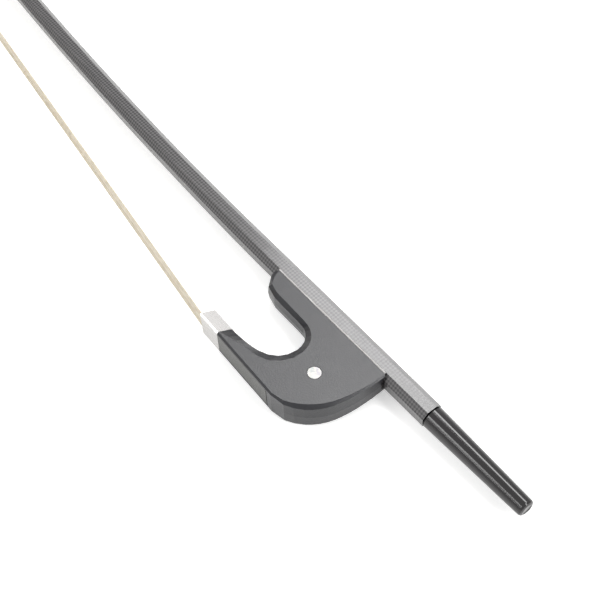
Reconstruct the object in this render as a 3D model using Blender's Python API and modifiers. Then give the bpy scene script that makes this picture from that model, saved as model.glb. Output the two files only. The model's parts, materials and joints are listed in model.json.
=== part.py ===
"""Double bass bow of the German pattern, with an octagonal carbon stick and a deep open frog.

The bow lies on its side on a table. +X runs along the screw towards the button, +Y from the hair to
the stick, and +Z up, out of the frog's side face. Lengths here are millimetres, and the meshes are
metres. The drawing's zero is where the screw's axis leaves the butt of the stick. At the end the
whole bow is moved so that the middle of its footprint is at the world's origin.
"""
import math

import bmesh
import bpy
import numpy as np
from mathutils import Matrix, Vector

MM = 0.001
GAP = 0.3  # clearance between pieces that touch
WELD = 0.00001  # metres

# Stick: an octagon, straight through the handle, then bent towards the hair and thinner to the head
STICK_LENGTH = 690.0  # butt to the middle of the head's throat
STRAIGHT_LENGTH = 141.0  # the handle, before the camber starts
CAMBER = 1.75e-4  # per mm, rise of the axis with the square of the distance
CAMBER_EASE = 5.6e-8  # per mm squared, how the bend eases off towards the head
HANDLE_ACROSS = 13.5  # across the flats
SHOULDER_ACROSS = 12.2
HEAD_ACROSS = 9.6
HANDLE_TAPER_FROM = 135.0
SHOULDER_AT = 240.0
SIDE_FLAT = 0.466  # share of the width that the side and bottom flats take, from the photo's facets
STICK_STATION = 27.0  # spacing of the sections along the bent stick
NIPPLE_LENGTH = 2.6
NIPPLE_RADIUS = 4.2

# Screw, its bore, and the brass eyelet that it draws along
SCREW_RADIUS = 1.75  # 3.5 mm screw with a 0.6 mm pitch
SCREW_TIP = -86.0
SCREW_IN_BUTTON = 30.0
BORE_CLEARANCE = 0.35
BORE_DEPTH = 96.0
EYELET_AT = -68.0
EYELET_LENGTH = 7.0
EYELET_WIDTH = 4.8
EYELET_TOP = 3.6
EYELET_SHANK_RADIUS = 2.2
EYELET_SHANK_LENGTH = 11.0
LOOSEN_TRAVEL = 4.2  # frog towards the head, seven turns
TIGHTEN_TRAVEL = 3.0  # frog towards the button, five turns
MORTISE_END_CLEARANCE = 1.5

# Button: a long turned handle
BUTTON_GAP = 0.5
BUTTON_LENGTH = 72.5
BUTTON_FRONT_RADIUS = 6.95
BUTTON_WAIST_RADIUS = 6.75
BUTTON_END_RADIUS = 5.35
BUTTON_END_ROUND = 1.6
BUTTON_LIP = 0.5

# Frog: the outline of the flat side face, and of the wall between the two faces
FROG_FRONT = -125.2
FROG_REAR = -33.0
FROG_TOP = -2.6
FACE_Z_AT_STICK = 7.0
FACE_Z_AT_HAIR = 10.1
HAIR_SIDE_TILT = 2.5  # degrees, of the slide and ferrule to the screw's axis
FERRULE_PLANE = -112.5
HAIR_SIDE_Y = -58.65  # the slide's outer face at the ferrule
HEEL_CORNER = -63.0
FACE_BEVEL = 1.05
FACE_STATION = 5.0  # spacing of the points along the curved stretches
THROAT_WALL_Z = 4.6
SLIDE_BEVEL_Z = 8.9

# Underslide, the silver lining of the channel that the stick lies in
LINING_THICKNESS = 0.6
LINING_TOP = -3.6
LINING_END_INSET = 0.4
LINING_PIN_RADIUS = 0.8
LINING_PIN_LENGTH = 5.0
LINING_PINS_AT = (-112.0, -46.0)

# Ferrule, slide, wedge, mortises, plugs and knots
FERRULE_LENGTH = 16.2
FERRULE_WALL = 0.8
FERRULE_FLAT_HALF = 9.3
FERRULE_SIDE_HALF = 9.9
FERRULE_CORNER = 0.9
FERRULE_RIDGE_HALF = 4.6
FERRULE_RIDGE = 9.7
FERRULE_HEIGHT = 11.4
SLIDE_LENGTH = 45.0
SLIDE_THICKNESS = 1.9
SLIDE_HALF = 7.7
SLIDE_UNDERCUT = 0.6
FROG_MORTISE_START = 20.0  # behind the ferrule
FROG_MORTISE_LENGTH = 13.0
FROG_MORTISE_HALF = 6.6
FROG_MORTISE_DEPTH = 10.0
WEDGE_THICKNESS = 2.0
KNOT_HEIGHT = 3.2

# Hair
HAIR_HALF_AT_FERRULE = 8.2
HAIR_HALF_AT_HEAD = 5.2
HAIR_THICKNESS = 0.9
HAIR_LOCKS = 16
HAIR_RIDGE = 0.14
HAIR_STRIP_PAST_FERRULE = 1.6
HAIR_STEP_FROM = -0.5  # where the hair steps down from under the slide to the ferrule's floor
HAIR_STEP_TO = -3.0
HAIR_STRIP_PAST_HEAD = 2.0

# Head, in its own axes: forwards along the stick, and down to the hair
HEAD_FACE = 22.6  # stick's axis to the bare face
HEAD_BACK = 3.6
HEAD_BEAK = 33.0
HEAD_HALF_AT_FACE = 7.0
HEAD_RIDGE_HALF = 1.3
HEAD_MORTISE_START = 8.0
HEAD_MORTISE_LENGTH = 12.0
HEAD_MORTISE_HALF = 5.7
HEAD_MORTISE_DEPTH = 8.4
TIP_LINER_THICKNESS = 0.6
TIP_PLATE_THICKNESS = 1.1
TIP_PIN_RADIUS = 0.6
TIP_PIN_LENGTH = 4.0
TIP_PIN_INSET = 2.6

# Pearl eye on each side of the frog
EYE_RADIUS = 3.9
EYE_THICKNESS = 1.0
EYE_AT = (-58.2, -33.6)

TURNED_STEPS = 48
SMALL_STEPS = 24

MATERIALS = {
    "carbon_stick": ((0.035, 0.033, 0.034), 0.32, 0.0),
    "dark_frog": ((0.055, 0.055, 0.06), 0.42, 0.0),
    "dark_slide": ((0.09, 0.09, 0.088), 0.5, 0.0),
    "button_black": ((0.03, 0.028, 0.028), 0.25, 0.0),
    "nickel_silver": ((0.74, 0.73, 0.72), 0.22, 1.0),
    "steel": ((0.55, 0.55, 0.56), 0.3, 1.0),
    "brass": ((0.70, 0.52, 0.24), 0.3, 1.0),
    "pearl": ((0.86, 0.85, 0.82), 0.2, 0.0),
    "horsehair": ((0.80, 0.73, 0.62), 0.45, 0.0),
    "plug_wood": ((0.62, 0.45, 0.28), 0.6, 0.0),
    "binding_thread": ((0.70, 0.64, 0.52), 0.7, 0.0),
    "black_fibre": ((0.03, 0.03, 0.03), 0.6, 0.0),
}


def clear_scene():
    for obj in list(bpy.data.objects):
        bpy.data.objects.remove(obj, do_unlink=True)


def new_collection(name):
    found = bpy.data.collections.new(name)
    bpy.context.scene.collection.children.link(found)
    return found


def material(name):
    colour, roughness, metallic = MATERIALS[name]
    mat = bpy.data.materials.get(name) or bpy.data.materials.new(name)
    mat.use_nodes = True
    shader = mat.node_tree.nodes["Principled BSDF"]
    shader.inputs["Base Color"].default_value = (*colour, 1.0)
    shader.inputs["Roughness"].default_value = roughness
    shader.inputs["Metallic"].default_value = metallic
    mat.diffuse_color = (*colour, 1.0)
    return mat


clear_scene()
bow = new_collection("double_bass_bow")
cutters = new_collection("cutters")
footing = bpy.data.objects.new("bow_on_table", None)
bow.objects.link(footing)


def axis_empty(name, at):
    """An empty on a joint's axis, which carries the pieces that move on that joint."""
    empty = bpy.data.objects.new(name, None)
    empty.location = Vector(at) * MM
    empty.parent = footing
    bow.objects.link(empty)
    return empty


screw_axis = axis_empty("screw_axis", (0.0, 0.0, 0.0))
frog_axis = axis_empty("frog_axis", (EYELET_AT, 0.0, 0.0))


def add_piece(name, mesh, mat, carrier=None, smooth=False):
    """Puts a mesh, drawn in the bow's own axes, in the collection and hands it to its carrier."""
    obj = bpy.data.objects.new(name, mesh)
    bow.objects.link(obj)
    mesh.materials.append(material(mat))
    if smooth:
        mesh.shade_smooth()
        mesh.set_sharp_from_angle(angle=math.radians(30))
    obj.parent = carrier or footing
    if carrier:
        obj.matrix_parent_inverse = Matrix.Translation(-carrier.location)
    return obj


def add_cutter(name, mesh):
    obj = bpy.data.objects.new(name, mesh)
    cutters.objects.link(obj)
    obj.hide_render = True
    obj.display_type = "WIRE"
    obj.parent = footing
    return obj


def boolean(obj, tool, operation="DIFFERENCE"):
    modifier = obj.modifiers.new(tool.name, "BOOLEAN")
    modifier.operation = operation
    modifier.solver = "EXACT"
    modifier.object = tool


def mesh_from(bm, name):
    bmesh.ops.recalc_face_normals(bm, faces=bm.faces)
    mesh = bpy.data.meshes.new(name)
    bm.to_mesh(mesh)
    bm.free()
    return mesh


def box(name, low, high, placing=None):
    """A block between two corners, given in the axes of placing."""
    low, high = Vector(low), Vector(high)
    bm = bmesh.new()
    size = Matrix.Diagonal((*((high - low) * MM), 1.0))
    bmesh.ops.create_cube(bm, size=1.0, matrix=Matrix.Translation((low + high) / 2 * MM) @ size)
    if placing:
        bmesh.ops.transform(bm, matrix=placing, verts=bm.verts)
    return mesh_from(bm, name)


def rod(name, start, end, radius, steps=SMALL_STEPS, placing=None):
    """A round bar between two points."""
    start, end = Vector(start), Vector(end)
    along = end - start
    turn = along.to_track_quat("Z", "Y").to_matrix().to_4x4()
    bm = bmesh.new()
    bmesh.ops.create_cone(
        bm,
        cap_ends=True,
        segments=steps,
        radius1=radius * MM,
        radius2=radius * MM,
        depth=along.length * MM,
        matrix=Matrix.Translation((start + end) / 2 * MM) @ turn,
    )
    if placing:
        bmesh.ops.transform(bm, matrix=placing, verts=bm.verts)
    return mesh_from(bm, name)


def plate(name, outline, low, high, placing):
    """A flat outline in the x and y of placing, thick from low to high along its z."""
    curve = bpy.data.curves.new(name, "CURVE")
    curve.dimensions = "2D"
    curve.fill_mode = "BOTH"
    curve.extrude = (high - low) / 2 * MM
    spline = curve.splines.new("POLY")
    spline.points.add(len(outline) - 1)
    for point, (x, y) in zip(spline.points, outline):
        point.co = (x * MM, y * MM, 0.0, 1.0)
    spline.use_cyclic_u = True
    guide = bpy.data.objects.new(name + "_outline", curve)
    bpy.context.scene.collection.objects.link(guide)
    shown = guide.evaluated_get(bpy.context.evaluated_depsgraph_get())
    mesh = bpy.data.meshes.new_from_object(shown)
    bpy.data.objects.remove(guide, do_unlink=True)
    bpy.data.curves.remove(curve)
    bm = bmesh.new()
    bm.from_mesh(mesh)
    bpy.data.meshes.remove(mesh)
    bmesh.ops.remove_doubles(bm, verts=bm.verts, dist=WELD)
    lift = Matrix.Translation((0.0, 0.0, (low + high) / 2 * MM))
    bmesh.ops.transform(bm, matrix=placing @ lift, verts=bm.verts)
    return mesh_from(bm, name)


def turned(name, profile, mat, carrier, steps=TURNED_STEPS):
    """A piece turned about the screw's axis, from its profile of (radius, x) points."""
    bm = bmesh.new()
    points = [bm.verts.new((radius * MM, 0.0, x * MM)) for radius, x in profile]
    for first, second in zip(points, points[1:]):
        bm.edges.new((first, second))
    mesh = bpy.data.meshes.new(name)
    bm.to_mesh(mesh)
    bm.free()
    obj = add_piece(name, mesh, mat, carrier, smooth=True)
    obj.rotation_euler = (0.0, math.pi / 2, 0.0)
    spin = obj.modifiers.new("turned", "SCREW")
    spin.axis = "Z"
    spin.angle = 2 * math.pi
    spin.steps = steps
    spin.render_steps = steps
    spin.use_merge_vertices = True
    spin.merge_threshold = WELD
    spin.use_smooth_shade = True
    return obj


def through(points, spacing):
    """Points along a smooth curve through a few given ones, about spacing apart on the first."""
    knots = [np.array(p, float) for p in points]
    knots = [2 * knots[0] - knots[1], *knots, 2 * knots[-1] - knots[-2]]
    found = []
    for before, start, end, after in zip(knots, knots[1:], knots[2:], knots[3:]):
        count = max(1, round(float(np.linalg.norm((end - start)[:2])) / spacing))
        for t in np.arange(count) / count:
            pull = 2 * start + (end - before) * t
            bend = (2 * before - 5 * start + 4 * end - after) * t**2
            close = (3 * start - before - 3 * end + after) * t**3
            found.append((pull + bend + close) / 2)
    return [*found, knots[-2]]


def loft(name, rows):
    """A closed body through rows of the same number of points, with a flat end at each side."""
    bm = bmesh.new()
    rings = [[bm.verts.new(Vector(p) * MM) for p in row] for row in rows]
    for ring, following in zip(rings, rings[1:]):
        for k in range(len(ring)):
            nxt = (k + 1) % len(ring)
            bm.faces.new((ring[k], ring[nxt], following[nxt], following[k]))
    bm.faces.new(rings[0])
    bm.faces.new(rings[-1])
    return mesh_from(bm, name)


def camber(distance):
    """Height and slope of the stick's axis, at a distance from the butt."""
    bent = max(0.0, distance - STRAIGHT_LENGTH)
    height = CAMBER * bent**2 - CAMBER_EASE * bent**3
    slope = 2 * CAMBER * bent - 3 * CAMBER_EASE * bent**2
    return height, slope


def across_flats(distance):
    places = (0.0, HANDLE_TAPER_FROM, SHOULDER_AT, STICK_LENGTH)
    widths = (HANDLE_ACROSS, HANDLE_ACROSS, SHOULDER_ACROSS, HEAD_ACROSS)
    return float(np.interp(distance, places, widths))


def octagon(across, offset=0.0):
    """Corners (y, z) of the stick's section, with its faces moved out by offset."""
    half = across / 2 + offset
    slant = (across / 2 + SIDE_FLAT * across / 2) + offset * math.sqrt(2)
    flat = slant - half
    corners = [(half, flat), (flat, half), (-flat, half), (-half, flat)]
    return corners + [(-y, -z) for y, z in corners]


def head_axes():
    """The head's axes: x forwards along the stick, y down to the hair, z level, at the throat."""
    height, slope = camber(STICK_LENGTH)
    angle = math.atan(slope)
    forwards = Vector((-math.cos(angle), math.sin(angle), 0.0))
    down = Vector((-math.sin(angle), -math.cos(angle), 0.0))
    level = forwards.cross(down)
    turn = Matrix((forwards, down, level)).transposed().to_4x4()
    return Matrix.Translation(Vector((-STICK_LENGTH, height, 0.0)) * MM) @ turn


def hair_side_axes():
    """Axes of the slide and ferrule: x to the button, y into the frog, at the ferrule's back edge."""
    turn = Matrix.Rotation(-math.radians(HAIR_SIDE_TILT), 4, "Z")
    return Matrix.Translation(Vector((FERRULE_PLANE, HAIR_SIDE_Y, 0.0)) * MM) @ turn


HEAD = head_axes()
HAIR_SIDE = hair_side_axes()
ALONG_X = Matrix(((0, 0, 1, 0), (1, 0, 0, 0), (0, 1, 0, 0), (0, 0, 0, 1)))  # outline in y and z


def hair_side_point(x, y):
    """A drawing point from the axes of the slide and ferrule."""
    return (HAIR_SIDE @ (Vector((x, y, 0.0)) * MM)) / MM


def head_point(x, y):
    return (HEAD @ (Vector((x, y, 0.0)) * MM)) / MM


def face_z(y):
    """Half thickness of the frog's flat sides, which spread from the stick to the hair."""
    share = (FROG_TOP - y) / (FROG_TOP - HAIR_SIDE_Y)
    return FACE_Z_AT_STICK + (FACE_Z_AT_HAIR - FACE_Z_AT_STICK) * share


def frog_stations():
    """Points round the frog, each (face x, face y, wall x, wall y, wall z, crown).

    The wall is where the slope or bevel next to the flat side ends, and the crown is how far the
    middle of the wall stands out past that.
    """
    heel_y = hair_side_point(HEEL_CORNER - FERRULE_PLANE, 0.0).y
    front = hair_side_point(0.0, FACE_BEVEL)
    slope_foot = hair_side_point(0.0, FACE_BEVEL + 0.8)
    ridge = hair_side_point(0.0, FERRULE_RIDGE)
    heel = [
        (FROG_REAR, FROG_TOP, FROG_REAR + 0.8, FROG_TOP, 6.2, 0.2),
        (FROG_REAR - 0.4, -14.0, FROG_REAR + 0.8, -14.0, 6.9, 0.3),
        (FROG_REAR - 2.4, -29.0, FROG_REAR - 0.6, -29.0, 7.6, 0.4),
        (FROG_REAR - 6.8, -41.9, FROG_REAR - 4.2, -42.3, 8.0, 0.5),
        (FROG_REAR - 14.6, -52.2, FROG_REAR - 11.2, -52.6, 8.2, 0.4),
        (FROG_REAR - 22.9, -58.2, FROG_REAR - 20.9, -59.2, 8.6, 0.2),
        (HEEL_CORNER, heel_y + FACE_BEVEL, HEEL_CORNER, heel_y, SLIDE_BEVEL_Z, 0.0),
    ]
    front_corner = (front.x, front.y, FERRULE_PLANE, HAIR_SIDE_Y, SLIDE_BEVEL_Z, 0.0)
    throat = [
        (slope_foot.x, slope_foot.y, ridge.x, ridge.y, THROAT_WALL_Z, 1.2),
        (-103.0, -54.3, -105.5, -48.6, THROAT_WALL_Z, 1.2),
        (-94.4, -52.0, -98.6, -47.9, THROAT_WALL_Z, 1.1),
        (-86.0, -50.7, -91.5, -46.4, THROAT_WALL_Z, 1.0),
        (-80.0, -47.6, -86.0, -44.0, THROAT_WALL_Z, 1.0),
        (-75.7, -42.5, -81.6, -40.3, THROAT_WALL_Z, 0.9),
        (-72.9, -36.0, -78.9, -35.5, THROAT_WALL_Z, 0.8),
        (-72.6, -29.5, -77.7, -29.8, THROAT_WALL_Z, 0.8),
        (-75.4, -22.0, -79.2, -23.6, THROAT_WALL_Z, 0.7),
        (-81.5, -17.1, -83.8, -19.0, 4.8, 0.6),
        (-90.0, -15.8, -90.5, -17.9, 5.0, 0.6),
        (-113.6, -15.2, -112.9, -17.5, 5.2, 0.5),
        (FROG_FRONT + 5.6, -13.6, FROG_FRONT + 4.6, -15.6, 5.4, 0.5),
        (FROG_FRONT + 2.3, -8.9, FROG_FRONT - 0.4, -9.4, 5.5, 0.4),
        (FROG_FRONT, FROG_TOP, FROG_FRONT - 1.8, FROG_TOP, 5.6, 0.3),
    ]
    return [*through(heel, FACE_STATION), front_corner, *through(throat, FACE_STATION)]


def frog_body():
    """Two flat sides, sloped or bevelled all round to a wall that is crowned in the middle."""
    face, wall, crown = [], [], []
    for face_x, face_y, wall_x, wall_y, wall_z, rise in frog_stations():
        outwards = Vector((wall_x - face_x, wall_y - face_y))
        outwards = outwards.normalized() if outwards.length > GAP else Vector((0.0, 0.0))
        face.append((face_x, face_y, face_z(face_y)))
        wall.append((wall_x, wall_y, wall_z))
        crown.append((wall_x + outwards.x * rise, wall_y + outwards.y * rise, 0.0))
    below_wall = [(x, y, -z) for x, y, z in wall]
    below_face = [(x, y, -z) for x, y, z in face]
    return loft("frog", [face, wall, crown, below_wall, below_face])


def lower_half(offset, top):
    """The lower half of the stick's section moved out by offset, as (y, z), cut off at top."""
    corners = octagon(HANDLE_ACROSS, offset)
    slant = corners[0][0] + corners[0][1]
    level = slant + top
    bottom, flat = corners[4][0], corners[0][1]
    return [(top, level), (bottom, flat), (bottom, -flat), (top, -level)]


LINING_IN = GAP
LINING_OUT = GAP + LINING_THICKNESS
CHANNEL = LINING_OUT + GAP
CHANNEL_FLOOR = octagon(HANDLE_ACROSS, CHANNEL)[4][0]

frog = add_piece("frog", frog_body(), "dark_frog", frog_axis)
channel = plate("channel", lower_half(CHANNEL, 2.0), FROG_FRONT - 20, FROG_REAR + 20, ALONG_X)
boolean(frog, add_cutter("channel", channel))

# Tongue inside the ferrule
FERRULE_INSIDE = FERRULE_WALL + GAP
HAIR_FLOOR = FERRULE_WALL + GAP
WEDGE_FLOOR = HAIR_FLOOR + HAIR_THICKNESS + GAP
TONGUE_FLOOR = WEDGE_FLOOR + WEDGE_THICKNESS + GAP


def ferrule_section(inset):
    """The ferrule's D-shaped section as (y, z), its walls moved in by inset."""
    lean = (FERRULE_SIDE_HALF - FERRULE_RIDGE_HALF) / (FERRULE_RIDGE - FERRULE_CORNER)
    side = inset * math.hypot(1.0, lean)
    half = [
        (inset, FERRULE_FLAT_HALF - side),
        (FERRULE_CORNER + inset, FERRULE_SIDE_HALF - side),
        (FERRULE_RIDGE - inset / 2, FERRULE_RIDGE_HALF - side * 0.8),
        (FERRULE_HEIGHT - 0.5 - inset, FERRULE_RIDGE_HALF / 2 - inset / 2),
    ]
    return half + [(FERRULE_HEIGHT - inset, 0.0)] + [(y, -z) for y, z in reversed(half)]


def clipped_section(inset, floor, ceiling):
    """The part of the ferrule's section between two heights, for what fills it."""
    half = [(y, z) for y, z in ferrule_section(inset) if z > 0.0]
    heights = [y for y, z in half]
    widths = [z for y, z in half]
    inside = [(y, z) for y, z in half if floor < y < ceiling]
    low = (floor, float(np.interp(floor, heights, widths)))
    high = (ceiling, float(np.interp(ceiling, heights, widths)))
    right = [low, *inside, high]
    return right + [(y, -z) for y, z in reversed(right)]


TONGUE_END = -(FERRULE_LENGTH - 2.2)
tongue_section = clipped_section(FERRULE_INSIDE, TONGUE_FLOOR, FERRULE_HEIGHT - FERRULE_INSIDE - 0.4)
tongue = plate("tongue", tongue_section, TONGUE_END, 3.0, HAIR_SIDE @ ALONG_X)
boolean(frog, add_cutter("tongue", tongue), "UNION")

# Hair mortise, the groove for slide and hair, and the eyelet's hole
MORTISE_END = FROG_MORTISE_START + FROG_MORTISE_LENGTH
HAIR_BED = SLIDE_THICKNESS + GAP
GROOVE_DEPTH = HAIR_BED + HAIR_THICKNESS + GAP


def dovetail(depth, grow):
    """Section of the slide, or of its groove, as (y, z): wider inside than at the surface."""
    mouth = SLIDE_HALF + grow
    inner = mouth + SLIDE_UNDERCUT
    return [(-grow, mouth), (depth, inner), (depth, -inner), (-grow, -mouth)]


groove_start = -1.0
groove_end = SLIDE_LENGTH + 2 * GAP
boolean(frog, add_cutter("slide_groove", plate(
    "slide_groove", dovetail(HAIR_BED, GAP), groove_start, groove_end, HAIR_SIDE @ ALONG_X
)))
boolean(frog, add_cutter("hair_bed", box(
    "hair_bed",
    (groove_start, 0.0, -HAIR_HALF_AT_FERRULE - GAP),
    (MORTISE_END - 1.0, GROOVE_DEPTH, HAIR_HALF_AT_FERRULE + GAP),
    HAIR_SIDE,
)))
boolean(frog, add_cutter("frog_mortise", box(
    "frog_mortise",
    (FROG_MORTISE_START, 0.0, -FROG_MORTISE_HALF),
    (MORTISE_END, FROG_MORTISE_DEPTH, FROG_MORTISE_HALF),
    HAIR_SIDE,
)))
shank_end = CHANNEL_FLOOR - EYELET_SHANK_LENGTH
boolean(frog, add_cutter("eyelet_hole", rod(
    "eyelet_hole",
    (EYELET_AT, 0.0, 0.0),
    (EYELET_AT, shank_end - GAP, 0.0),
    EYELET_SHANK_RADIUS + GAP,
)))

for side, mark in ((1, "near"), (-1, "far")):
    eye_x, eye_y = EYE_AT
    lean = math.atan((FACE_Z_AT_HAIR - FACE_Z_AT_STICK) / (FROG_TOP - HAIR_SIDE_Y))
    square = Vector((0.0, math.sin(lean), side * math.cos(lean)))
    surface = Vector((eye_x, eye_y, side * face_z(eye_y)))
    recess = rod("eye_recess", surface + square * 2.0, surface - square * (EYE_THICKNESS + GAP),
                 EYE_RADIUS + GAP, TURNED_STEPS)
    boolean(frog, add_cutter(f"eye_recess_{mark}", recess))
    eye = rod("eye", surface - square * EYE_THICKNESS, surface, EYE_RADIUS, TURNED_STEPS)
    add_piece(f"pearl_eye_{mark}", eye, "pearl", frog_axis)

# Underslide and its pins
lining_outer = lower_half(LINING_OUT, LINING_TOP)
lining_inner = lower_half(LINING_IN, LINING_TOP)
underslide = add_piece("underslide", plate(
    "underslide",
    lining_outer + lining_inner[::-1],
    FROG_FRONT + LINING_END_INSET,
    FROG_REAR - LINING_END_INSET,
    ALONG_X,
), "nickel_silver", frog_axis)
LINING_FLOOR = octagon(HANDLE_ACROSS, LINING_OUT)[4][0]
for number, at in enumerate(LINING_PINS_AT, 1):
    top = LINING_FLOOR - GAP
    pin = rod("pin", (at, top, 0.0), (at, top - LINING_PIN_LENGTH, 0.0), LINING_PIN_RADIUS, 12)
    hole = rod("hole", (at, 0.0, 0.0), (at, top - LINING_PIN_LENGTH - GAP, 0.0),
               LINING_PIN_RADIUS + GAP, 12)
    boolean(frog, add_cutter(f"underslide_pin_hole_{number}", hole))
    add_piece(f"underslide_pin_{number}", pin, "nickel_silver", frog_axis, smooth=True)
boolean(underslide, add_cutter("underslide_eyelet_hole", rod(
    "hole", (EYELET_AT, 0.0, 0.0), (EYELET_AT, CHANNEL_FLOOR - 2.0, 0.0), EYELET_SHANK_RADIUS + GAP
)))

# Eyelet: a threaded ring on a shank
eyelet = add_piece("eyelet", box(
    "eyelet",
    (EYELET_AT - EYELET_LENGTH / 2, CHANNEL_FLOOR + 1.5, -EYELET_WIDTH / 2),
    (EYELET_AT + EYELET_LENGTH / 2, EYELET_TOP, EYELET_WIDTH / 2),
), "brass", frog_axis)
shank = rod("shank", (EYELET_AT, CHANNEL_FLOOR + 2.5, 0.0), (EYELET_AT, shank_end, 0.0),
            EYELET_SHANK_RADIUS)
boolean(eyelet, add_cutter("eyelet_shank", shank), "UNION")
boolean(eyelet, add_cutter("eyelet_thread", rod(
    "thread", (EYELET_AT - EYELET_LENGTH, 0.0, 0.0), (EYELET_AT + EYELET_LENGTH, 0.0, 0.0),
    SCREW_RADIUS + BORE_CLEARANCE / 2
)))

# Ferrule
ferrule = add_piece("ferrule", plate(
    "ferrule", ferrule_section(0.0), -FERRULE_LENGTH - GAP, -GAP, HAIR_SIDE @ ALONG_X
), "nickel_silver", frog_axis)
boolean(ferrule, add_cutter("ferrule_bore", plate(
    "ferrule_bore", ferrule_section(FERRULE_WALL), -FERRULE_LENGTH - 2, 2, HAIR_SIDE @ ALONG_X
)))

# Slide, in its dovetail
add_piece("slide", plate(
    "slide", dovetail(SLIDE_THICKNESS, 0.0), 0.0, SLIDE_LENGTH, HAIR_SIDE @ ALONG_X
), "dark_slide", frog_axis)

# Wedge that spreads the hair in the ferrule
wedge_ceiling = WEDGE_FLOOR + WEDGE_THICKNESS
wedge_section = clipped_section(FERRULE_INSIDE, WEDGE_FLOOR, wedge_ceiling)
add_piece("spread_wedge", plate(
    "spread_wedge", wedge_section, 1.0 - FERRULE_LENGTH, HAIR_STEP_TO - 1.0,
    HAIR_SIDE @ ALONG_X
), "plug_wood", frog_axis)

# Stick and head in one piece
stick_rows = []
stations = [0.0, STRAIGHT_LENGTH / 2]
bent_steps = round((STICK_LENGTH - STRAIGHT_LENGTH) / STICK_STATION)
stations += [STRAIGHT_LENGTH + (STICK_LENGTH - STRAIGHT_LENGTH) * k / bent_steps
             for k in range(bent_steps + 1)]
for distance in stations:
    height, slope = camber(distance)
    centre = Vector((-distance, height, 0.0))
    upright = Vector((slope, 1.0, 0.0)).normalized()
    ring = [centre + upright * y + Vector((0.0, 0.0, z)) for y, z in octagon(across_flats(distance))]
    stick_rows.append(ring)
stick = add_piece("stick", loft("stick", stick_rows), "carbon_stick")

HEAD_TOP = HEAD_ACROSS / 2
cheeks = [
    (-9.0, HEAD_TOP - 0.8, -9.0, HEAD_TOP - 0.4),
    (-4.0, 6.0, -4.0, 6.6),
    (0.6, 10.2, 1.0, 10.6),
    (2.9, 15.5, 3.3, 15.7),
    (HEAD_BACK, HEAD_FACE, HEAD_BACK, HEAD_FACE),
]
beak = [
    (HEAD_BEAK - 9.0, HEAD_FACE, HEAD_BEAK - 1.5, HEAD_FACE),
    (HEAD_BEAK - 10.0, HEAD_FACE - 1.6, HEAD_BEAK, HEAD_FACE - 1.4),
]
brow = [
    (HEAD_BEAK - 14.0, 14.5, HEAD_BEAK - 8.0, 13.2),
    (13.5, 7.0, 16.5, 5.0),
    (7.5, 1.2, 8.6, -1.0),
    (0.5, -2.4, 0.8, -HEAD_TOP + 0.2),
    (-9.0, -HEAD_TOP + 1.0, -9.0, -HEAD_TOP + 0.3),
]
head_outline = [*through(cheeks, FACE_STATION), *beak, *through(brow, FACE_STATION)]
head_spread = (HEAD_HALF_AT_FACE - HEAD_TOP + 0.6) / (HEAD_FACE + HEAD_TOP)


def head_z(y):
    return HEAD_TOP - 0.6 + head_spread * (y + HEAD_TOP)


head_rows = [
    [head_point(x, y) + Vector((0.0, 0.0, side * z)) for x, y, z in row]
    for side, row in (
        (1, [(fx, fy, head_z(fy)) for fx, fy, wx, wy in head_outline]),
        (1, [(wx, wy, HEAD_RIDGE_HALF if wx > 4.5 else head_z(wy) - 0.8)
             for fx, fy, wx, wy in head_outline]),
        (-1, [(wx, wy, HEAD_RIDGE_HALF if wx > 4.5 else head_z(wy) - 0.8)
              for fx, fy, wx, wy in head_outline]),
        (-1, [(fx, fy, head_z(fy)) for fx, fy, wx, wy in head_outline]),
    )
]
boolean(stick, add_cutter("head_form", loft("head_form", head_rows)), "UNION")

nipple = rod("nipple", (-3.0, 0.0, 0.0), (NIPPLE_LENGTH, 0.0, 0.0), NIPPLE_RADIUS, 32)
boolean(stick, add_cutter("nipple", nipple), "UNION")
boolean(stick, add_cutter("screw_bore", rod(
    "screw_bore", (10.0, 0.0, 0.0), (-BORE_DEPTH, 0.0, 0.0), SCREW_RADIUS + BORE_CLEARANCE
)))
slot_half = EYELET_LENGTH / 2 + MORTISE_END_CLEARANCE
boolean(stick, add_cutter("eyelet_slot", box(
    "eyelet_slot",
    (EYELET_AT - slot_half - LOOSEN_TRAVEL, -HANDLE_ACROSS, -EYELET_WIDTH / 2 - GAP),
    (EYELET_AT + slot_half + TIGHTEN_TRAVEL, EYELET_TOP + GAP, EYELET_WIDTH / 2 + GAP),
)))
boolean(stick, add_cutter("head_mortise", box(
    "head_mortise",
    (HEAD_MORTISE_START, HEAD_FACE - HEAD_MORTISE_DEPTH, -HEAD_MORTISE_HALF),
    (HEAD_MORTISE_START + HEAD_MORTISE_LENGTH, HEAD_FACE + 2.0, HEAD_MORTISE_HALF),
    HEAD,
)))

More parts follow.
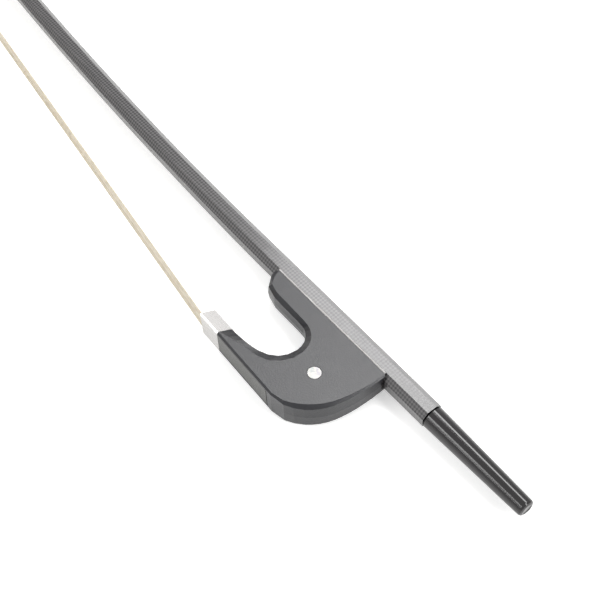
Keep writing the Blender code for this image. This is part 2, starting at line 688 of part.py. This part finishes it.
# Tip plate on its fibre liner, with the mouth of the mortise cut through both
face_outline = [
    (HEAD_BACK, HEAD_HALF_AT_FACE), (HEAD_BEAK - 9.0, HEAD_HALF_AT_FACE),
    (HEAD_BEAK - 1.5, HEAD_RIDGE_HALF), (HEAD_BEAK - 1.5, -HEAD_RIDGE_HALF),
    (HEAD_BEAK - 9.0, -HEAD_HALF_AT_FACE), (HEAD_BACK, -HEAD_HALF_AT_FACE),
]
LEVEL = HEAD @ Matrix(((1, 0, 0, 0), (0, 0, 1, 0), (0, -1, 0, 0), (0, 0, 0, 1)))
liner_low = HEAD_FACE + GAP / 2
plate_low = liner_low + TIP_LINER_THICKNESS + GAP / 2
HEAD_SURFACE = plate_low + TIP_PLATE_THICKNESS
pin_places = (HEAD_BACK + TIP_PIN_INSET - 0.4, HEAD_BEAK - 9.0)
for name, mat, low, thickness in (
    ("tip_plate_liner", "black_fibre", liner_low, TIP_LINER_THICKNESS),
    ("tip_plate", "nickel_silver", plate_low, TIP_PLATE_THICKNESS),
):
    leaf = add_piece(name, plate(name, face_outline, low, low + thickness, LEVEL), mat)
    boolean(leaf, add_cutter(name + "_mouth", box(
        name + "_mouth",
        (HEAD_MORTISE_START, low - 1.0, -HEAD_MORTISE_HALF),
        (HEAD_MORTISE_START + HEAD_MORTISE_LENGTH, low + thickness + 1.0, HEAD_MORTISE_HALF),
        HEAD,
    )))
    for number, at in enumerate(pin_places, 1):
        hole = rod("hole", (at, low - 1.0, 0.0), (at, low + thickness + 1.0, 0.0),
                   TIP_PIN_RADIUS + GAP / 2, 12, HEAD)
        boolean(leaf, add_cutter(f"{name}_pin_hole_{number}", hole))
for number, at in enumerate(pin_places, 1):
    low = HEAD_SURFACE - TIP_PIN_LENGTH
    add_piece(f"tip_pin_{number}", rod(
        "tip_pin", (at, low, 0.0), (at, HEAD_SURFACE, 0.0), TIP_PIN_RADIUS, 12, HEAD
    ), "nickel_silver", smooth=True)
    boolean(stick, add_cutter(f"tip_pin_hole_{number}", rod(
        "hole", (at, low - GAP, 0.0), (at, HEAD_SURFACE + 1.0, 0.0), TIP_PIN_RADIUS + GAP / 2, 12,
        HEAD
    )))


def mortise_pieces(name, axes, low, high, half, floor, mouth, carrier):
    """A knot on the mortise's floor, under a plug, with room for the hair at the high end."""
    inwards = 1.0 if floor > mouth else -1.0
    hair_outer = high - GAP
    hair_inner = hair_outer - HAIR_THICKNESS
    span = (low + GAP, hair_inner - GAP)
    knot_floor = floor - inwards * GAP
    knot_roof = knot_floor - inwards * KNOT_HEIGHT
    plug_floor = knot_roof - inwards * GAP
    plug_roof = mouth + inwards * GAP
    for part, first, last, mat in (
        ("hair_knot", knot_floor, knot_roof, "binding_thread"),
        ("plug", plug_floor, plug_roof, "plug_wood"),
    ):
        depth = sorted((first, last))
        add_piece(f"{name}_{part}", box(
            part, (span[0], depth[0], -half + GAP), (span[1], depth[1], half - GAP), axes
        ), mat, carrier)
    return hair_outer, hair_inner, knot_floor


frog_outer, frog_inner, frog_floor = mortise_pieces(
    "frog", HAIR_SIDE, FROG_MORTISE_START, MORTISE_END, FROG_MORTISE_HALF,
    FROG_MORTISE_DEPTH, GROOVE_DEPTH, frog_axis
)
head_outer, head_inner, head_floor = mortise_pieces(
    "head", HEAD, HEAD_MORTISE_START, HEAD_MORTISE_START + HEAD_MORTISE_LENGTH,
    HEAD_MORTISE_HALF, HEAD_FACE - HEAD_MORTISE_DEPTH, HEAD_SURFACE - HAIR_THICKNESS, None
)

# Hair: out of the frog's mortise, under the slide, through the ferrule, then free to the head
bed = HAIR_BED + GAP / 2
strip_end = -FERRULE_LENGTH - HAIR_STRIP_PAST_FERRULE
frog_strip = [
    (frog_inner, frog_floor), (frog_outer, frog_floor), (frog_outer, bed),
    (HAIR_STEP_FROM, bed), (HAIR_STEP_TO, HAIR_FLOOR), (strip_end, HAIR_FLOOR),
    (strip_end, HAIR_FLOOR + HAIR_THICKNESS), (HAIR_STEP_TO, HAIR_FLOOR + HAIR_THICKNESS),
    (HAIR_STEP_FROM, bed + HAIR_THICKNESS), (frog_inner, bed + HAIR_THICKNESS),
]
lip = HEAD_SURFACE + GAP
head_strip = [
    (head_inner, head_floor), (head_outer, head_floor), (head_outer, lip + HAIR_THICKNESS),
    (HEAD_BACK - HAIR_STRIP_PAST_HEAD, lip + HAIR_THICKNESS), (HEAD_BACK - HAIR_STRIP_PAST_HEAD, lip),
    (head_inner, lip),
]
narrow = FROG_MORTISE_HALF - GAP
hair = add_piece("hair", plate(
    "hair", frog_strip, -narrow, narrow, HAIR_SIDE
), "horsehair")
boolean(hair, add_cutter("head_strip", plate(
    "head_strip", head_strip, -HAIR_HALF_AT_HEAD, HAIR_HALF_AT_HEAD, HEAD
)), "UNION")


def ribbon_row(centre, normal, half):
    """Section of the ribbon: locks of hair side by side, as shallow ridges on both faces."""
    row = []
    for side in (1, -1):
        for k in range(2 * HAIR_LOCKS + 1):
            z = side * half * (1.0 - k / HAIR_LOCKS)
            depth = HAIR_THICKNESS / 2 - (0.0 if k % 2 else HAIR_RIDGE)
            if k == 0 or k == 2 * HAIR_LOCKS:
                depth = HAIR_THICKNESS / 4
            row.append(centre + normal * (side * depth) + Vector((0.0, 0.0, z)))
    return row


mouth_point = hair_side_point(strip_end + 1.0, HAIR_FLOOR + HAIR_THICKNESS / 2)
lip_point = head_point(HEAD_BACK - HAIR_STRIP_PAST_HEAD + 1.0, lip + HAIR_THICKNESS / 2)
run = (lip_point - mouth_point).normalized()
across_run = Vector((run.y, -run.x, 0.0))
ribbon = loft("ribbon", [
    ribbon_row(mouth_point, across_run, HAIR_HALF_AT_FERRULE - GAP),
    ribbon_row((mouth_point + lip_point) / 2, across_run,
               (HAIR_HALF_AT_FERRULE - GAP + HAIR_HALF_AT_HEAD) / 2),
    ribbon_row(lip_point, across_run, HAIR_HALF_AT_HEAD),
])
boolean(hair, add_cutter("ribbon", ribbon), "UNION")

# Screw and button
add_piece("screw", rod(
    "screw", (SCREW_TIP, 0.0, 0.0), (BUTTON_GAP + SCREW_IN_BUTTON, 0.0, 0.0), SCREW_RADIUS
), "steel", screw_axis, smooth=True)

front = BUTTON_GAP
rear = BUTTON_GAP + BUTTON_LENGTH
bore = SCREW_RADIUS + GAP
nipple_room = NIPPLE_RADIUS + GAP
button_profile = [
    (0.0, rear - 0.5),
    (2.4, rear - 0.45),
    (BUTTON_END_RADIUS - BUTTON_END_ROUND, rear),
    (BUTTON_END_RADIUS - BUTTON_END_ROUND * 0.3, rear - BUTTON_END_ROUND * 0.3),
    (BUTTON_END_RADIUS, rear - BUTTON_END_ROUND),
    (BUTTON_WAIST_RADIUS, front + 9.0),
    (BUTTON_FRONT_RADIUS, front + BUTTON_LIP),
    (BUTTON_FRONT_RADIUS - BUTTON_LIP, front),
    (nipple_room, front),
    (nipple_room, NIPPLE_LENGTH + GAP),
    (bore, NIPPLE_LENGTH + GAP),
    (bore, front + SCREW_IN_BUTTON + GAP),
    (0.0, front + SCREW_IN_BUTTON + GAP),
]
turned("button", button_profile, "button_black", screw_axis)


def set_on_table():
    """Moves the bow so that the middle of its footprint is the world's origin."""
    bpy.context.view_layer.update()
    shown = bpy.context.evaluated_depsgraph_get()
    corners = []
    for obj in bow.objects:
        if obj.type == "MESH":
            seen = obj.evaluated_get(shown)
            corners += [seen.matrix_world @ v.co for v in seen.data.vertices]
    low = Vector([min(c[k] for c in corners) for k in range(3)])
    high = Vector([max(c[k] for c in corners) for k in range(3)])
    middle = (low + high) / 2
    footing.location -= Vector((middle.x, middle.y, low.z))
    bpy.context.view_layer.update()
    print("size in mm", [round(side / MM, 2) for side in high - low])
    print("butt of the stick at", [round(place, 6) for place in footing.location])


set_on_table()
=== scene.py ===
import json
import math

import bpy
import numpy as np
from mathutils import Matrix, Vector


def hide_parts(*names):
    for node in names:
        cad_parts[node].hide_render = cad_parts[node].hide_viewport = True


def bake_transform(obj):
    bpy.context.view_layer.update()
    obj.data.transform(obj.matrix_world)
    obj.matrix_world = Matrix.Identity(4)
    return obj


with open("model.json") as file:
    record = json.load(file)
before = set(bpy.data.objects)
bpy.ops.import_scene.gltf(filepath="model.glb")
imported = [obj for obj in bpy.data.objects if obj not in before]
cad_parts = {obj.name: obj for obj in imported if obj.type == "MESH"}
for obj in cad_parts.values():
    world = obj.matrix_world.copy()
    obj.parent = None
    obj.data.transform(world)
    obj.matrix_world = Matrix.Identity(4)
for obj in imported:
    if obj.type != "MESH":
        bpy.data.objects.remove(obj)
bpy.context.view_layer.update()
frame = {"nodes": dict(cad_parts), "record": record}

print("frame loaded:", len(frame["nodes"]), "nodes")

MM = 0.001


# Camera: where the photographer stood, above the button's side of the table

CAMERA = {
    "place": (0.594682, -0.279687, 0.707442),
    "turn": (33.748, 1.851, 50.309),  # degrees
    "lens": 88.22,  # mm on a 36 mm wide sensor
}

camera_data = bpy.data.cameras.new("photoCamera")
camera_data.lens = CAMERA["lens"]
camera_data.sensor_width = 36.0
camera_data.clip_start = 0.01
camera_data.clip_end = 30.0
camera = bpy.data.objects.new("photoCamera", camera_data)
camera.location = CAMERA["place"]
camera.rotation_euler = [math.radians(angle) for angle in CAMERA["turn"]]
bpy.context.scene.collection.objects.link(camera)
bpy.context.scene.camera = camera
bpy.context.scene.view_settings.view_transform = "Standard"


# Helpers for colours and node trees

# sRGB hex to linear: divided by 12.92 in the dark toe, else raised to the power 2.4
def linear(hexcode):
    parts = [int(hexcode[i:i + 2], 16) / 255.0 for i in (0, 2, 4)]
    return tuple(
        part / 12.92 if part <= 0.04045 else ((part + 0.055) / 1.055) ** 2.4 for part in parts
    ) + (1.0,)


def grey(value):
    return (value, value, value, 1.0)


# Adds a node. Settings name its properties, its sockets, or a socket's number as s0, s1 and so on.
# Links name the source of each socket.
def add(tree, kind, links=None, **settings):
    node = tree.nodes.new(kind)
    for name, value in settings.items():
        if name in node.bl_rna.properties:
            setattr(node, name, value)
        else:
            numbered = name[0] == "s" and name[1:].isdigit()
            socket = int(name[1:]) if numbered else name.replace("_", " ")
            node.inputs[socket].default_value = value
    for name, source in (links or {}).items():
        socket = source if isinstance(source, bpy.types.NodeSocket) else source.outputs[0]
        tree.links.new(socket, node.inputs[name])
    return node


# A material with its surface node and the object's own coordinates in mm
def material(name):
    made = bpy.data.materials.new(name)
    made.use_nodes = True
    tree = made.node_tree
    surface = tree.nodes["Principled BSDF"]
    where = add(tree, "ShaderNodeTexCoord")
    in_mm = add(tree, "ShaderNodeVectorMath", {0: where.outputs["Object"]},
                operation="SCALE", Scale=1.0 / MM)
    return made, tree, surface, in_mm


def feed(tree, surface, name, source):
    socket = source if isinstance(source, bpy.types.NodeSocket) else source.outputs[0]
    tree.links.new(socket, surface.inputs[name])


# A colour ramp from (place, colour) stops
def ramp(tree, source, stops):
    node = add(tree, "ShaderNodeValToRGB", {0: source})
    points = node.color_ramp.elements
    while len(points) < len(stops):
        points.new(0.5)
    for point, (place, colour) in zip(points, stops):
        point.position = place
        point.color = colour
    return node


def blend_colour(tree, share, first, second, mode="MIX"):
    node = add(tree, "ShaderNodeMix", data_type="RGBA", blend_type=mode)
    for place, source in ((0, share), (6, first), (7, second)):
        if isinstance(source, (float, tuple)):
            node.inputs[place].default_value = source
        else:
            socket = source if isinstance(source, bpy.types.NodeSocket) else source.outputs[0]
            tree.links.new(socket, node.inputs[place])
    return node.outputs[2]


# Room: pale table, white surround and soft lamps

ROOM = {
    "table": 6.0,  # metres
    "surround": 1.0,
    "lit_surround": 0.5,
    "floor_glow": 0.42,  # only in what is seen, so that the table is as white as the photo's
    "floor": "f7f7f6",
    "lamps": {
        # a broad box that the flat faces mirror back to the camera
        "mirrorBox": {
            "place": (-0.20, 0.75, 1.45), "aim": (0.24, -0.02, 0.0),
            "size": (0.9, 0.55), "power": 14.5,
        },
        "keyBox": {
            "place": (-0.35, -1.00, 0.95), "aim": (0.2, -0.02, 0.0),
            "size": (1.1, 0.4), "power": 9.0,
        },
        # low and far, for the light edge on the ferrule's slope
        "slopeBox": {
            "place": (-0.45, 1.10, 0.30), "aim": (0.2, -0.04, 0.0),
            "size": (0.7, 0.35), "power": 0.7,
        },
        "buttonBox": {
            "place": (1.25, 0.35, 0.75), "aim": (0.32, 0.0, 0.0),
            "size": (0.25, 0.9), "power": 9.0,
        },
    },
}


# One for rays that show the room as such: to the camera, in metal and through glass
def seen_rays(tree):
    paths = add(tree, "ShaderNodeLightPath")
    camera_ray, glossy_ray, transmission_ray = (
        paths.outputs[name] for name in ("Is Camera Ray", "Is Glossy Ray", "Is Transmission Ray")
    )
    either = add(tree, "ShaderNodeMath", {0: camera_ray, 1: glossy_ray}, operation="MAXIMUM")
    return add(tree, "ShaderNodeMath", {0: either, 1: transmission_ray}, operation="MAXIMUM")


def build_room():
    bpy.ops.mesh.primitive_plane_add(size=ROOM["table"], location=(0.0, 0.0, -0.0002))
    floor = bpy.context.object
    floor.name = "paleTable"
    made = bpy.data.materials.new("whitePaperTable")
    made.use_nodes = True
    tree = made.node_tree
    surface = tree.nodes["Principled BSDF"]
    surface.inputs["Base Color"].default_value = linear(ROOM["floor"])
    surface.inputs["Roughness"].default_value = 0.9
    surface.inputs["Specular IOR Level"].default_value = 0.1
    surface.inputs["Emission Color"].default_value = grey(1.0)
    glow = add(tree, "ShaderNodeMath", {0: seen_rays(tree)}, operation="MULTIPLY",
               s1=ROOM["floor_glow"])
    tree.links.new(glow.outputs[0], surface.inputs["Emission Strength"])
    floor.data.materials.append(made)
    for name, lamp in ROOM["lamps"].items():
        light = bpy.data.lights.new(name, "AREA")
        light.shape = "RECTANGLE"
        light.size, light.size_y = lamp["size"]
        light.energy = lamp["power"]
        holder = bpy.data.objects.new(name, light)
        holder.location = lamp["place"]
        facing = Vector(lamp["aim"]) - Vector(lamp["place"])
        holder.rotation_euler = facing.to_track_quat("-Z", "Y").to_euler()
        bpy.context.scene.collection.objects.link(holder)
    world = bpy.data.worlds.new("whiteRoom")
    bpy.context.scene.world = world
    world.use_nodes = True
    tree = world.node_tree
    tree.nodes.clear()
    lit = add(tree, "ShaderNodeBackground", Color=grey(1.0), Strength=ROOM["lit_surround"])
    seen = add(tree, "ShaderNodeBackground", Color=grey(1.0), Strength=ROOM["surround"])
    either = add(tree, "ShaderNodeMixShader", {0: seen_rays(tree), 1: lit, 2: seen})
    add(tree, "ShaderNodeOutputWorld", {0: either})


build_room()
print("room and lamps built")


# Carbon stick: woven tows under clear lacquer, so that it reads as carbon and not as black paint

CARBON = {
    "tow": 1.35,  # mm, width of one woven tow
    "dark": "0e0e0f",
    "light": "565354",
    "fibre": 9.0,  # fibre lines to a mm
    "lacquer": 0.16,
    "coat": 0.75,
    "rough": (0.34, 0.50),  # of the tows that run across, and of those that run along
    "fibre_shade": 0.6,
    "lean": 45.0,  # degrees between the tows and the stick
}


def carbon_material():
    made, tree, surface, in_mm = material("carbonTwillUnderLacquer")
    place = add(tree, "ShaderNodeSeparateXYZ", {0: in_mm})
    facing = add(tree, "ShaderNodeNewGeometry").outputs["Normal"]
    normal = add(tree, "ShaderNodeSeparateXYZ", {0: facing})
    # distance across a facet: y times the normal's z, less z times the normal's y
    first = add(tree, "ShaderNodeMath", {0: place.outputs[1], 1: normal.outputs[2]},
                operation="MULTIPLY")
    second = add(tree, "ShaderNodeMath", {0: place.outputs[2], 1: normal.outputs[1]},
                 operation="MULTIPLY")
    across = add(tree, "ShaderNodeMath", {0: first, 1: second}, operation="SUBTRACT")
    flat = add(tree, "ShaderNodeCombineXYZ", {0: place.outputs[0], 1: across}, s2=0.37)
    leaning = add(tree, "ShaderNodeVectorRotate", {0: flat}, rotation_type="Z_AXIS",
                  Angle=math.radians(CARBON["lean"]))
    weave = add(tree, "ShaderNodeTexChecker", {0: leaning}, Scale=1.0 / CARBON["tow"],
                Color1=grey(1.0), Color2=grey(0.0))
    along, over = (
        add(tree, "ShaderNodeTexWave", {0: leaning}, Scale=CARBON["fibre"] / 2.0,
            Distortion=1.5, Detail=1.0, bands_direction=direction).outputs["Fac"]
        for direction in ("X", "Y")
    )
    fibres = blend_colour(tree, weave.outputs["Fac"], along, over)
    woven = blend_colour(tree, weave.outputs["Fac"],
                         linear(CARBON["dark"]), linear(CARBON["light"]))
    lines = ramp(tree, fibres, [(0.0, grey(CARBON["fibre_shade"])), (1.0, grey(1.0))])
    colour = blend_colour(tree, 1.0, woven, lines.outputs[0], "MULTIPLY")
    feed(tree, surface, "Base Color", colour)
    low, high = CARBON["rough"]
    rough = add(tree, "ShaderNodeMapRange", {0: weave.outputs["Fac"]}, s3=low, s4=high)
    feed(tree, surface, "Roughness", rough)
    surface.inputs["Coat Weight"].default_value = CARBON["coat"]
    surface.inputs["Coat Roughness"].default_value = CARBON["lacquer"]
    return made


# Solid finishes: a fine grain in colour and sheen keeps a large plain face from reading as film.
# The grain's numbers are its fineness per mm along x, y and z.

FINISHES = {
    "satinEboniteFrog": {
        "colour": ("131317", "19191e"), "rough": (0.29, 0.37),
        "grain": (0.9, 0.9, 0.9), "bump": 0.05,
    },
    "fineGrainedSlide": {
        "colour": ("343432", "5c5c59"), "rough": (0.36, 0.5),
        "grain": (0.35, 3.2, 3.2), "bump": 0.12,
    },
    "polishedNickelSilver": {
        "colour": ("b4b2b1", "c4c2c0"), "rough": (0.22, 0.32),
        "grain": (0.12, 5.0, 5.0), "bump": 0.02, "metal": 1.0,
    },
    "threadedSteel": {
        "colour": ("9a9a9c", "bdbdbf"), "rough": (0.25, 0.38),
        "grain": (10.0, 0.1, 0.1), "bump": 0.3, "metal": 1.0,
    },
    "machinedBrass": {
        "colour": ("b99a55", "c9ab66"), "rough": (0.25, 0.35),
        "grain": (1.0, 1.0, 6.0), "bump": 0.05, "metal": 1.0,
    },
    "mapleSplitPlug": {
        "colour": ("b99467", "d3b184"), "rough": (0.5, 0.65),
        "grain": (0.5, 0.5, 6.0), "bump": 0.1,
    },
    "waxedBindingThread": {
        "colour": ("b9b098", "ddd5bf"), "rough": (0.6, 0.75),
        "grain": (0.3, 4.0, 0.3), "bump": 0.5,
    },
    "vulcanisedFibre": {
        "colour": ("171615", "201f1e"), "rough": (0.5, 0.6),
        "grain": (1.2, 1.2, 1.2), "bump": 0.05,
    },
    "turnedBlackButton": {
        "colour": ("141213", "1b1819"), "rough": (0.08, 0.12),
        "grain": (4.0, 0.25, 0.25), "bump": 0.03,
    },
}


def solid_material(name):
    look = FINISHES[name]
    made, tree, surface, in_mm = material(name)
    stretched = add(tree, "ShaderNodeVectorMath", {0: in_mm}, operation="MULTIPLY",
                    s1=look["grain"])
    grain = add(tree, "ShaderNodeTexNoise", {0: stretched}, Scale=1.0, Detail=4.0, Roughness=0.6)
    dark, light = look["colour"]
    # Nearly all of a noise's values lie between these two
    start, end = 0.3, 0.7
    colour = ramp(tree, grain.outputs[0], [(start, linear(dark)), (end, linear(light))])
    feed(tree, surface, "Base Color", colour)
    low, high = look["rough"]
    sheen = add(tree, "ShaderNodeMapRange", {0: grain.outputs[0]}, s1=start, s2=end, s3=low, s4=high)
    feed(tree, surface, "Roughness", sheen)
    relief = add(tree, "ShaderNodeBump", {"Height": grain.outputs[0]},
                 Strength=look["bump"], Distance=0.1)
    feed(tree, surface, "Normal", relief)
    surface.inputs["Metallic"].default_value = look.get("metal", 0.0)
    return made


# Pearl: cloudy layers under a polished face, so that it reads as shell and not as white paint

PEARL = {"colours": ("6b716f", "96938a", "77727a"), "cloud": 0.22}


def pearl_material():
    made, tree, surface, in_mm = material("abaloneWhitePearl")
    cloud = add(tree, "ShaderNodeTexNoise", {0: in_mm}, Scale=PEARL["cloud"], Detail=1.0,
                Distortion=0.5)
    low, middle, high = PEARL["colours"]
    feed(tree, surface, "Base Color", ramp(tree, cloud.outputs[0], [
        (0.35, linear(low)), (0.5, linear(middle)), (0.65, linear(high)),
    ]))
    surface.inputs["Roughness"].default_value = 0.2
    surface.inputs["Coat Weight"].default_value = 0.6
    return made


# Horsehair: each hair has its own tone, and light passes a little way into the ribbon

HORSEHAIR = {"colours": ("b9ab90", "dacfb9", "e7dfcf"), "rough": 0.45,
             "tone_share": 0.85, "darken": 0.42}


def hair_material():
    made, tree, surface, in_mm = material("naturalWhiteHorsehair")
    tone = add(tree, "ShaderNodeAttribute", attribute_name="hair_tone")
    spots = add(tree, "ShaderNodeTexNoise", {0: in_mm}, Scale=0.35, Detail=2.0)
    mixed = add(tree, "ShaderNodeMath", {0: tone.outputs["Fac"], 2: spots.outputs[0]},
                operation="MULTIPLY_ADD", s1=HORSEHAIR["tone_share"])
    shifted = add(tree, "ShaderNodeMath", {0: mixed}, operation="SUBTRACT",
                  s1=HORSEHAIR["darken"])
    low, middle, high = HORSEHAIR["colours"]
    feed(tree, surface, "Base Color", ramp(tree, shifted, [
        (0.05, linear(low)), (0.45, linear(middle)), (0.9, linear(high)),
    ]))
    surface.inputs["Roughness"].default_value = HORSEHAIR["rough"]
    surface.inputs["Subsurface Weight"].default_value = 0.15
    surface.inputs["Subsurface Radius"].default_value = (0.6 * MM, 0.45 * MM, 0.3 * MM)
    return made


carbon = carbon_material()
finishes = {name: solid_material(name) for name in FINISHES}
BY_SLOT = {
    "carbon_stick": carbon,
    "dark_frog": finishes["satinEboniteFrog"],
    "dark_slide": finishes["fineGrainedSlide"],
    "nickel_silver": finishes["polishedNickelSilver"],
    "steel": finishes["threadedSteel"],
    "brass": finishes["machinedBrass"],
    "plug_wood": finishes["mapleSplitPlug"],
    "binding_thread": finishes["waxedBindingThread"],
    "black_fibre": finishes["vulcanisedFibre"],
    "button_black": finishes["turnedBlackButton"],
    "pearl": pearl_material(),
    "horsehair": hair_material(),
}

slots = {entry["node"]: entry["material_slot"] for entry in frame["record"]["subparts"]}
for name, node in frame["nodes"].items():
    node.data.materials.clear()
    node.data.materials.append(BY_SLOT[slots[name]])
    for face in node.data.polygons:
        face.material_index = 0
print("materials on", len(slots), "nodes")


# Hair: separate strands in layers, gathered into the head and spread over the ferrule

HAIR = {
    "strands": 288,
    "layers": 4,
    "radius": 0.115,  # mm
    "sides": 4,
    "stations": 30,
    "head": (-385.5, 27.35, 5.0),  # x, y and half width of the ribbon, in mm
    "bend": (-369.6, 24.95, 5.05),
    "mouth": (196.5, -50.05, 7.75),
    "spread": (198.2, -50.1, 7.75),
    "frog_end": (212.5, -50.6, 6.1),
    "middle_z": 10.161,
    "thickness": 0.62,
    "stray": 0.1,
    "seed": 7,
}


def hair_strands():
    chance = np.random.default_rng(HAIR["seed"])
    count, stations, sides = HAIR["strands"], HAIR["stations"], HAIR["sides"]
    # Stations: a few at each end, where the ribbon bends or spreads, and the rest evenly between
    free = np.linspace(HAIR["bend"][0], HAIR["mouth"][0], stations - 3)
    x = np.concatenate([[HAIR["head"][0]], free, [HAIR["spread"][0], HAIR["frog_end"][0]]])
    keys = np.array([HAIR[key] for key in ("head", "bend", "mouth", "spread", "frog_end")])
    y = np.interp(x, keys[:, 0], keys[:, 1])
    half = np.interp(x, keys[:, 0], keys[:, 2])
    # Each hair keeps its share of the width and its layer, and strays a little from both
    per_layer = count // HAIR["layers"]
    layer = np.arange(count) // per_layer
    share = ((np.arange(count) % per_layer) + 0.5 + 0.25 * (layer % 2)) / per_layer * 2.0 - 1.0
    share = np.clip(share + chance.uniform(-0.3, 0.3, count) / per_layer, -1.0, 1.0)
    depth = (layer + 0.5) / HAIR["layers"] - 0.5 + chance.uniform(-0.08, 0.08, count)
    steps = np.linspace(0.0, 1.0, len(x))
    held = np.sin(np.pi * steps)  # the ends are held still
    phase = chance.uniform(0.0, 2.0 * np.pi, (2, count, 1))
    turns = chance.uniform(0.5, 3.0, (2, count, 1))
    sway = np.sin(2.0 * np.pi * turns * steps + phase) * held * HAIR["stray"]
    centre_z = HAIR["middle_z"] + share[:, None] * half[None, :] + sway[0]
    limit = half[None, :]
    centre_z = np.clip(centre_z, HAIR["middle_z"] - limit, HAIR["middle_z"] + limit)
    centre_y = y[None, :] + depth[:, None] * HAIR["thickness"] + sway[1] * 0.5
    # Tube about each centre line: a ring of corners in the plane across the hair
    angle = 2.0 * np.pi * np.arange(sides) / sides + np.pi / 4.0
    ring_y = centre_y[..., None] + HAIR["radius"] * np.cos(angle)
    ring_z = centre_z[..., None] + HAIR["radius"] * np.sin(angle)
    ring_x = np.broadcast_to(x[None, :, None], ring_y.shape)
    points = np.stack([ring_x, ring_y, ring_z], -1).reshape(-1, 3) * MM
    # Faces: each side of each length of tube
    strand, station, side = np.meshgrid(
        np.arange(count), np.arange(len(x) - 1), np.arange(sides), indexing="ij"
    )
    base = (strand * len(x) + station) * sides
    following = (side + 1) % sides
    near_side = [base + side, base + following]
    far_side = [base + sides + following, base + sides + side]
    faces = np.stack(near_side + far_side, -1).reshape(-1, 4)
    # Caps close both ends of every tube
    first = (np.arange(count) * len(x))[:, None] * sides + np.arange(sides)[::-1][None, :]
    last = (np.arange(count) * len(x) + len(x) - 1)[:, None] * sides + np.arange(sides)[None, :]
    faces = np.concatenate([faces, first, last])
    mesh = bpy.data.meshes.new("hairStrands")
    mesh.from_pydata(points.tolist(), [], faces.tolist())
    tones = np.repeat(chance.uniform(0.0, 1.0, count), len(x) * sides).astype(np.float32)
    mesh.attributes.new("hair_tone", "FLOAT", "POINT").data.foreach_set("value", tones)
    mesh.polygons.foreach_set("use_smooth", np.ones(len(mesh.polygons), bool))
    mesh.update()
    strands = bpy.data.objects.new("hairStrands", mesh)
    bpy.context.scene.collection.objects.link(strands)
    mesh.materials.append(BY_SLOT["horsehair"])
    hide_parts("hair")
    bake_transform(strands)
    return strands


strands = hair_strands()
print("hair:", len(strands.data.polygons), "faces")
